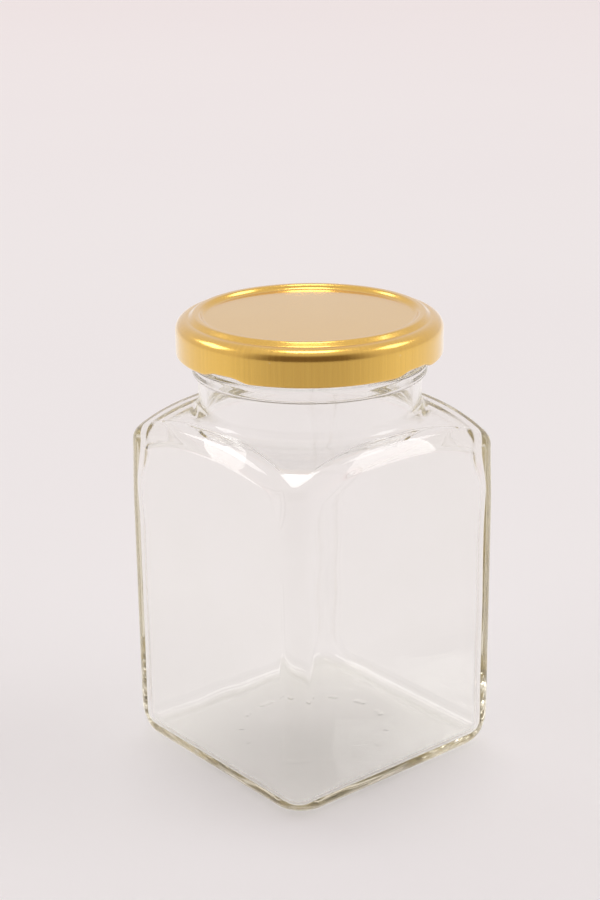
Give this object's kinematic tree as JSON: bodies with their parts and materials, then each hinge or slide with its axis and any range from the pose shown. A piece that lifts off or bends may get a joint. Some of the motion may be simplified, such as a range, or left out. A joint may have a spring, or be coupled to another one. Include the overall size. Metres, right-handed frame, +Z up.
{
  "type": "square glass jar",
  "caption": "Empty clear square glass jar with rounded corners, arched shoulder and round neck, closed by a gold twist-off metal lid with a raised ring and recessed panel.",
  "frame": {"origin": "centre of the base, on the surface the jar stands on", "axes": "+Z up along the jar's axis, +X and +Y square to two of its four flat faces"},
  "size_m": [0.067, 0.067, 0.1156],
  "materials": {
    "clear_glass": "clear flint glass, smooth, faint olive in thick sections",
    "gold_tinplate": "gold-lacquered tinplate, satin with fine rolling grain",
    "sealing_compound": "matte off-white sealing compound"
  },
  "bodies": {
    "root": {"jar": "clear_glass", "lid": "gold_tinplate", "seal": "sealing_compound"}
  },
  "joints": []
}
